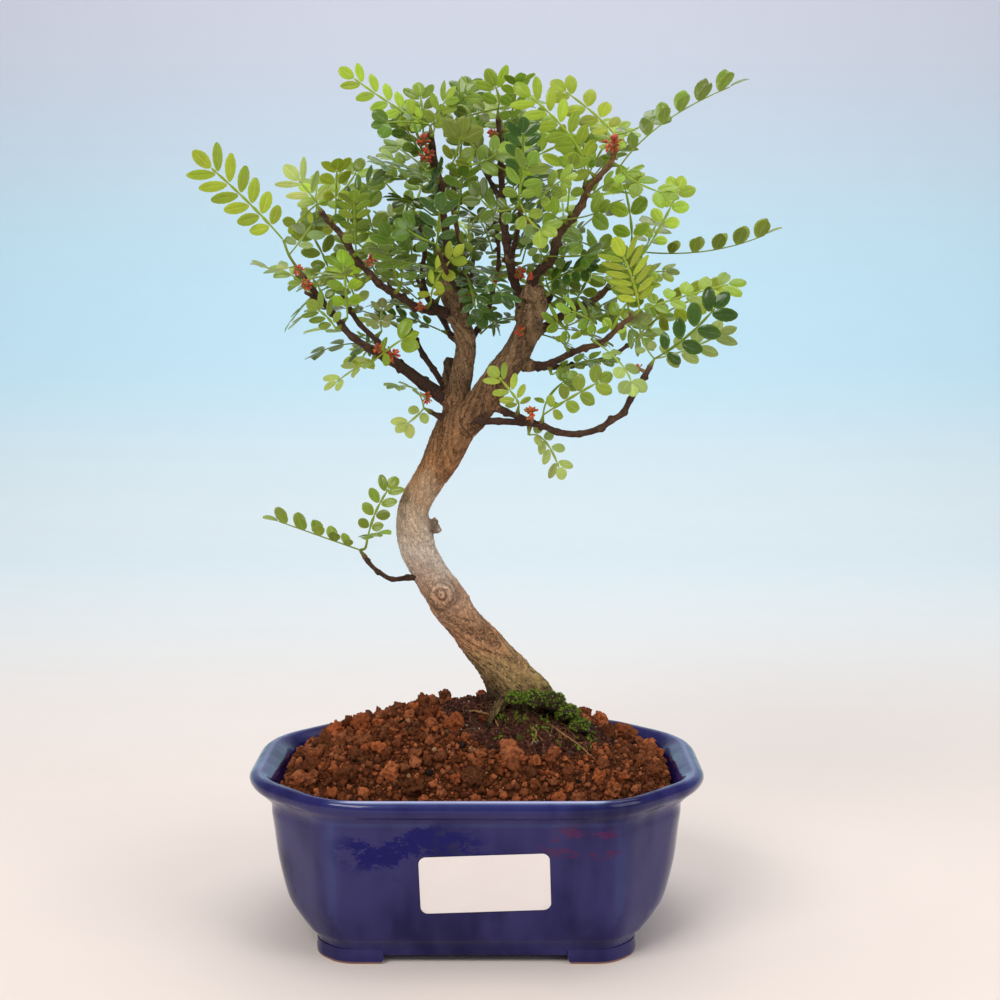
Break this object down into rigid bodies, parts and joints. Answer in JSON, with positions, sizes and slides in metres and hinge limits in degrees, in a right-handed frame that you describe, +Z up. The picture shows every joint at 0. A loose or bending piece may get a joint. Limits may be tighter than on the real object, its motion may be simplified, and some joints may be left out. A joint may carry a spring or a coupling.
{
  "type": "japanese pepper bonsai in a glazed pot",
  "caption": "Japanese pepper bonsai: curved woody trunk, pinnate leaf fronds and small red buds, in a low blue-glazed bonsai pot filled with akadama soil.",
  "frame": {"origin": "middle of the footprint of the whole plant and pot, on the surface the pot stands on", "axes": "+Z up the trunk, -Y towards the side with the label, +X to the right seen from there"},
  "size_m": [0.2126, 0.1308, 0.3229],
  "materials": {
    "glaze": "gloss",
    "paper": "matte",
    "akadama": "matte",
    "bark": "matte",
    "moss": "matte",
    "leaf": "satin",
    "bud": "matte"
  },
  "bodies": {
    "root": {"flower_buds_1": "bud", "flower_buds_2": "bud", "flower_buds_3": "bud", "flower_buds_4": "bud", "flower_buds_5": "bud", "flower_buds_6": "bud", "flower_buds_7": "bud", "flower_buds_8": "bud", "flower_buds_9": "bud", "label": "paper", "leafy_spray_1": "leaf", "leafy_spray_2": "leaf", "leafy_spray_3": "leaf", "leafy_spray_4": "leaf", "leafy_spray_5": "leaf", "leafy_spray_6": "leaf", "leafy_spray_7": "leaf", "leafy_spray_8": "leaf", "leafy_spray_9": "leaf", "leafy_spray_10": "leaf", "leafy_spray_11": "leaf", "leafy_spray_12": "leaf", "leafy_spray_13": "leaf", "leafy_spray_14": "leaf", "leafy_spray_15": "leaf", "leafy_spray_16": "leaf", "leafy_spray_17": "leaf", "leafy_spray_18": "leaf", "leafy_spray_19": "leaf", "leafy_spray_20": "leaf", "leafy_spray_21": "leaf", "leafy_spray_22": "leaf", "leafy_spray_23": "leaf", "leafy_spray_24": "leaf", "leafy_spray_25": "leaf", "leafy_spray_26": "leaf", "leafy_spray_27": "leaf", "leafy_spray_28": "leaf", "leafy_spray_29": "leaf", "leafy_spray_30": "leaf", "leafy_spray_31": "leaf", "leafy_spray_32": "leaf", "leafy_spray_33": "leaf", "leafy_spray_34": "leaf", "leafy_spray_35": "leaf", "leafy_spray_36": "leaf", "leafy_spray_37": "leaf", "leafy_spray_38": "leaf", "leafy_spray_39": "leaf", "leafy_spray_40": "leaf", "leafy_spray_41": "leaf", "leafy_spray_42": "leaf", "leafy_spray_43": "leaf", "leafy_spray_44": "leaf", "leafy_spray_45": "leaf", "leafy_spray_46": "leaf", "moss": "moss", "pot": "glaze", "soil": "akadama", "trunk": "bark"}
  },
  "joints": []
}
